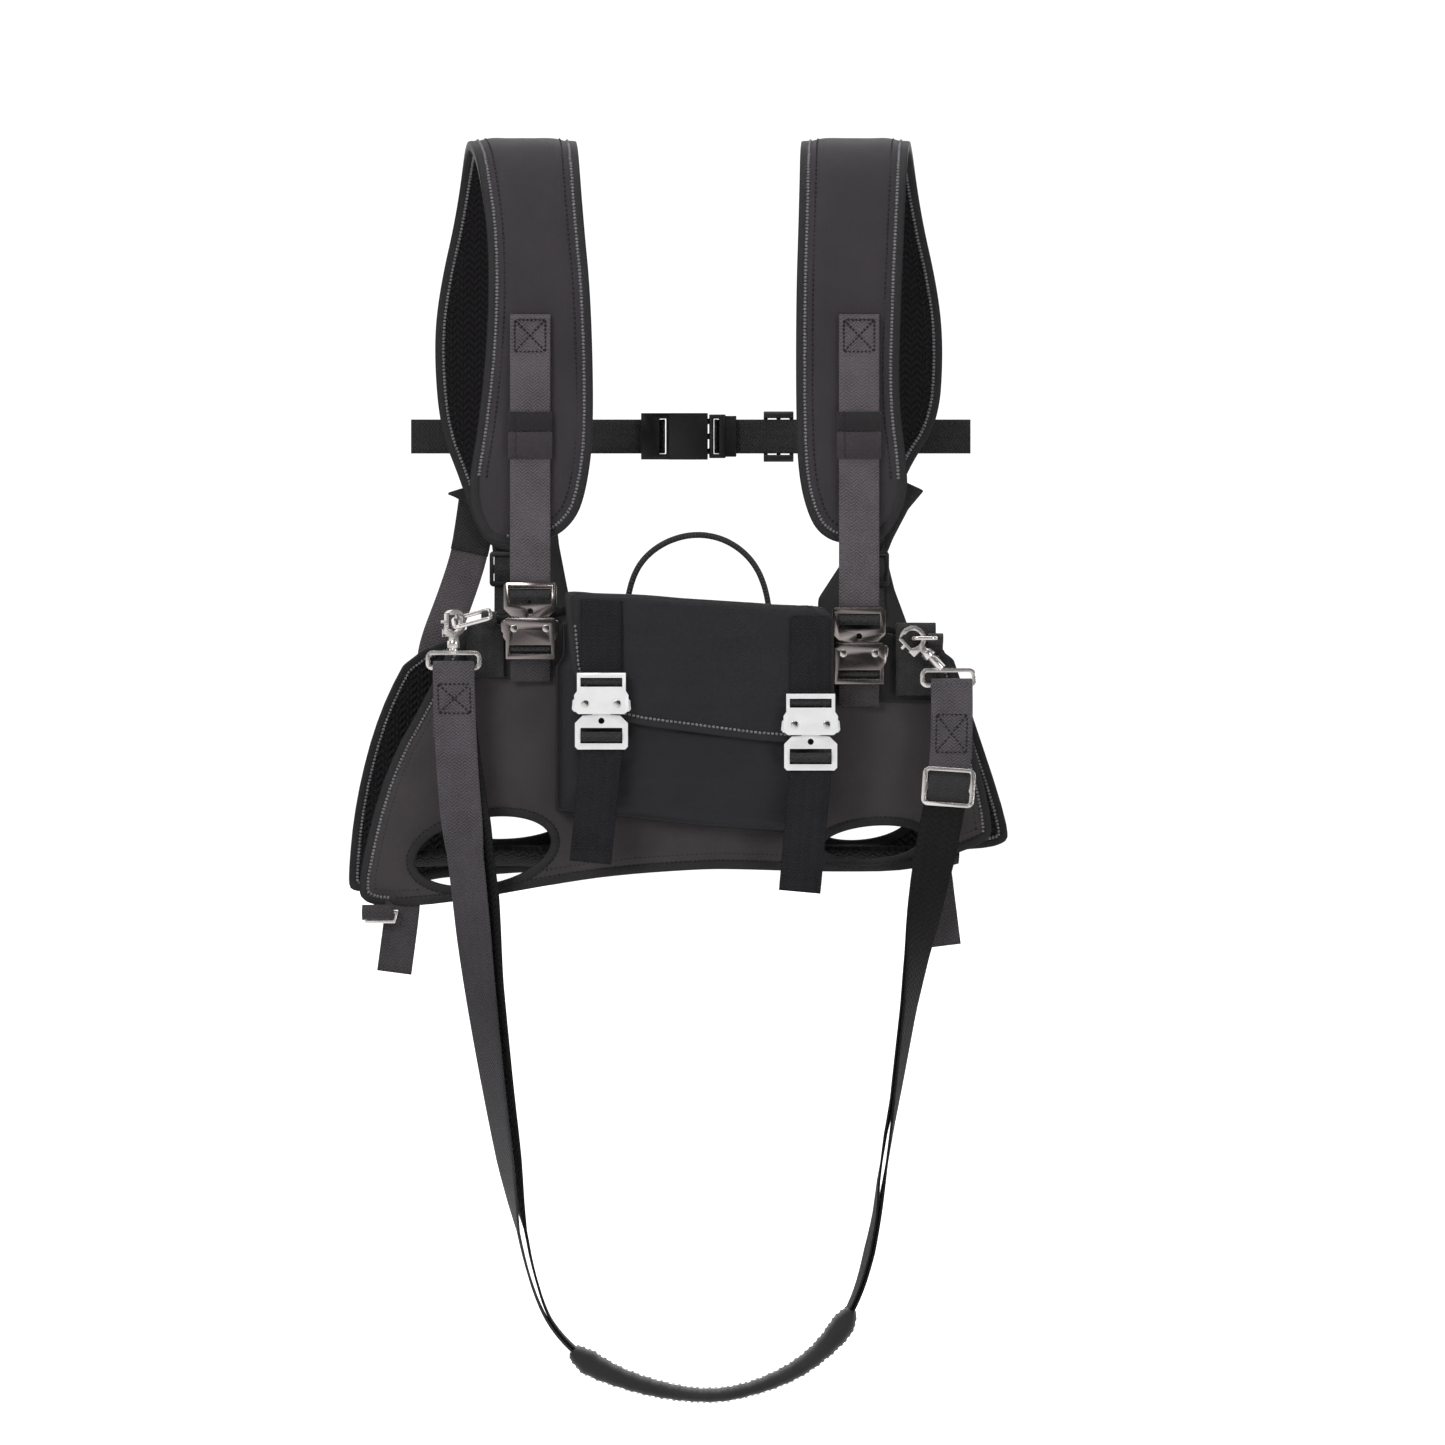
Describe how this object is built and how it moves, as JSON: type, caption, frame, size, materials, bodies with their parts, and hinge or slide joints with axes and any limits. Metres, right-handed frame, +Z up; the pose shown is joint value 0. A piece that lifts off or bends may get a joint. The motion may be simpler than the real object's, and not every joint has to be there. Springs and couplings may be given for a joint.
{
  "type": "safety harness vest",
  "caption": "Hanging harness vest: padded shoulder loops, soft trough with leg holes, buckled pouch flap, chest strap and a long detachable strap on snap hooks.",
  "frame": {"origin": "midway between the two shoulder loops, on the underside of their tops, where a bar or the wearer's shoulders carry them", "axes": "+X across the vest, to the right of its front; +Y towards its back; +Z up"},
  "size_m": [0.479, 0.1706, 0.9094],
  "materials": {
    "pad_fabric": "matte woven",
    "body_fabric": "matte woven",
    "satin_fabric": "satin",
    "webbing": "twill weave",
    "elastic": "ribbed elastic",
    "handle_webbing": "twill weave",
    "leash_webbing": "twill weave",
    "sleeve_fabric": "padded woven",
    "black_plastic": "satin moulded",
    "shoulder_chrome": "polished",
    "flap_silver": "polished",
    "hook_chrome": "polished",
    "rivet_steel": "polished"
  },
  "bodies": {
    "harness": {"shoulder_pad_left": "pad_fabric", "shoulder_buckle_left_frame": "shoulder_chrome", "rear_webbing_left": "webbing", "ladder_lock_left": "black_plastic", "hook_eye_left": "hook_chrome", "side_ring_left": "hook_chrome", "shoulder_pad_right": "pad_fabric", "shoulder_buckle_right_frame": "shoulder_chrome", "rear_webbing_right": "webbing", "ladder_lock_right": "black_plastic", "hook_eye_right": "hook_chrome", "side_ring_right": "hook_chrome", "shoulder_buckle_rivets": "rivet_steel", "panel_loops": "webbing", "front_panel": "body_fabric", "back_panel": "body_fabric", "belly_panel": "body_fabric", "pouch": "satin_fabric", "grab_handle": "handle_webbing", "chest_strap_left": "webbing", "chest_housing": "black_plastic", "ring_patches": "webbing", "leash_loop": "leash_webbing", "leash_left_leg": "leash_webbing", "leash_right_leg": "leash_webbing", "leash_sleeve": "sleeve_fabric", "hanging_tabs": "webbing"},
    "shoulder_strap_left": {"shoulder_webbing_left": "webbing", "shoulder_buckle_left_tongue": "shoulder_chrome"},
    "keeper_left": {"webbing_keeper_left": "elastic"},
    "shoulder_left_lever_left": {"shoulder_buckle_left_lever_left": "shoulder_chrome"},
    "shoulder_left_lever_right": {"shoulder_buckle_left_lever_right": "shoulder_chrome"},
    "pouch_strap_left": {"pouch_webbing_left": "webbing", "flap_buckle_left_tongue": "flap_silver"},
    "flap_left_lever_left": {"flap_buckle_left_lever_left": "flap_silver"},
    "flap_left_lever_right": {"flap_buckle_left_lever_right": "flap_silver"},
    "shoulder_strap_right": {"shoulder_webbing_right": "webbing", "shoulder_buckle_right_tongue": "shoulder_chrome"},
    "keeper_right": {"webbing_keeper_right": "elastic"},
    "shoulder_right_lever_left": {"shoulder_buckle_right_lever_left": "shoulder_chrome"},
    "shoulder_right_lever_right": {"shoulder_buckle_right_lever_right": "shoulder_chrome"},
    "pouch_strap_right": {"pouch_webbing_right": "webbing", "flap_buckle_right_tongue": "flap_silver"},
    "flap_right_lever_left": {"flap_buckle_right_lever_left": "flap_silver"},
    "flap_right_lever_right": {"flap_buckle_right_lever_right": "flap_silver"},
    "flap": {"flap": "satin_fabric", "flap_webbing_left": "webbing", "flap_webbing_right": "webbing", "flap_buckle_left_frame": "flap_silver", "flap_buckle_right_frame": "flap_silver", "flap_buckle_rivets": "rivet_steel"},
    "chest_half_right": {"chest_strap_right": "webbing", "chest_insert": "black_plastic"},
    "chest_adjuster": {"chest_adjuster": "black_plastic"},
    "hook_left": {"hook_left": "hook_chrome"},
    "hook_gate_left": {"hook_gate_left": "hook_chrome"},
    "hook_right": {"hook_right": "hook_chrome"},
    "hook_gate_right": {"hook_gate_right": "hook_chrome"},
    "leash_slider": {"leash_slider": "hook_chrome"},
    "lower_ring": {"lower_ring": "hook_chrome"}
  },
  "joints": [
    {"name": "shoulder_strap_left_pull", "type": "slide", "parent": "harness", "child": "shoulder_strap_left", "axis": [0, 0, 1], "range_m": [0, 0.014]},
    {"name": "keeper_left_slide", "type": "slide", "parent": "shoulder_strap_left", "child": "keeper_left", "axis": [0, 0, 1], "range_m": [-0.05, 0.04]},
    {"name": "shoulder_left_lever_left_press", "type": "hinge", "parent": "harness", "child": "shoulder_left_lever_left", "pos_m": [-0.125, -0.0669, -0.342], "axis": [0, 1, 0], "range_deg": [0, 8], "stiffness_Nm_per_rad": 0.02},
    {"name": "shoulder_left_lever_right_press", "type": "hinge", "parent": "harness", "child": "shoulder_left_lever_right", "pos_m": [-0.102, -0.0669, -0.342], "axis": [0, -1, 0], "range_deg": [0, 8], "stiffness_Nm_per_rad": 0.02},
    {"name": "pouch_strap_left_pull", "type": "slide", "parent": "harness", "child": "pouch_strap_left", "axis": [0, 0, -1], "range_m": [0, 0.014]},
    {"name": "flap_left_lever_left_press", "type": "hinge", "parent": "flap", "child": "flap_left_lever_left", "pos_m": [-0.0735, -0.0893, -0.396], "axis": [0, -1, 0], "range_deg": [0, 8], "stiffness_Nm_per_rad": 0.02},
    {"name": "flap_left_lever_right_press", "type": "hinge", "parent": "flap", "child": "flap_left_lever_right", "pos_m": [-0.0505, -0.0893, -0.396], "axis": [0, 1, 0], "range_deg": [0, 8], "stiffness_Nm_per_rad": 0.02},
    {"name": "shoulder_strap_right_pull", "type": "slide", "parent": "harness", "child": "shoulder_strap_right", "axis": [0, 0, 1], "range_m": [0, 0.014]},
    {"name": "keeper_right_slide", "type": "slide", "parent": "shoulder_strap_right", "child": "keeper_right", "axis": [0, 0, 1], "range_m": [-0.05, 0.04]},
    {"name": "shoulder_right_lever_left_press", "type": "hinge", "parent": "harness", "child": "shoulder_right_lever_left", "pos_m": [0.1115, -0.0669, -0.36], "axis": [0, 1, 0], "range_deg": [0, 8], "stiffness_Nm_per_rad": 0.02},
    {"name": "shoulder_right_lever_right_press", "type": "hinge", "parent": "harness", "child": "shoulder_right_lever_right", "pos_m": [0.1345, -0.0669, -0.36], "axis": [0, -1, 0], "range_deg": [0, 8], "stiffness_Nm_per_rad": 0.02},
    {"name": "pouch_strap_right_pull", "type": "slide", "parent": "harness", "child": "pouch_strap_right", "axis": [0, 0, -1], "range_m": [0, 0.014]},
    {"name": "flap_right_lever_left_press", "type": "hinge", "parent": "flap", "child": "flap_right_lever_left", "pos_m": [0.0765, -0.0893, -0.411], "axis": [0, -1, 0], "range_deg": [0, 8], "stiffness_Nm_per_rad": 0.02},
    {"name": "flap_right_lever_right_press", "type": "hinge", "parent": "flap", "child": "flap_right_lever_right", "pos_m": [0.0995, -0.0893, -0.411], "axis": [0, 1, 0], "range_deg": [0, 8], "stiffness_Nm_per_rad": 0.02},
    {"name": "flap_hinge", "type": "hinge", "parent": "harness", "child": "flap", "pos_m": [0.006, -0.059, -0.324], "axis": [0.9978, 0, -0.0662], "range_deg": [-115, 0]},
    {"name": "chest_buckle_pull", "type": "slide", "parent": "harness", "child": "chest_half_right", "axis": [1, 0, 0], "range_m": [0, 0.026]},
    {"name": "chest_adjuster_slide", "type": "slide", "parent": "chest_half_right", "child": "chest_adjuster", "axis": [1, 0, 0], "range_m": [-0.012, 0.02]},
    {"name": "hook_left_swivel", "type": "hinge", "parent": "harness", "child": "hook_left", "pos_m": [-0.1685, -0.07, -0.357], "axis": [0, 0, 1], "range_deg": [-30, 0]},
    {"name": "hook_left_gate_press", "type": "hinge", "parent": "hook_left", "child": "hook_gate_left", "pos_m": [-0.17356, -0.07424, -0.3448], "axis": [-0.6428, 0.766, 0], "range_deg": [0, 12], "stiffness_Nm_per_rad": 0.02},
    {"name": "hook_right_swivel", "type": "hinge", "parent": "harness", "child": "hook_right", "pos_m": [0.175, -0.07, -0.363], "axis": [-0.7071, 0, 0.7071], "range_deg": [-20, 20]},
    {"name": "hook_right_gate_press", "type": "hinge", "parent": "hook_right", "child": "hook_gate_right", "pos_m": [0.16171, -0.07, -0.35904], "axis": [0, 1, 0], "range_deg": [0, 12], "stiffness_Nm_per_rad": 0.02},
    {"name": "leash_slider_slide", "type": "slide", "parent": "harness", "child": "leash_slider", "axis": [0.1908, 0, 0.9816], "range_m": [-0.02, 0.008]},
    {"name": "lower_ring_swing", "type": "hinge", "parent": "harness", "child": "lower_ring", "pos_m": [-0.222, -0.053, -0.546], "axis": [1, 0, 0], "range_deg": [-40, 0]}
  ]
}
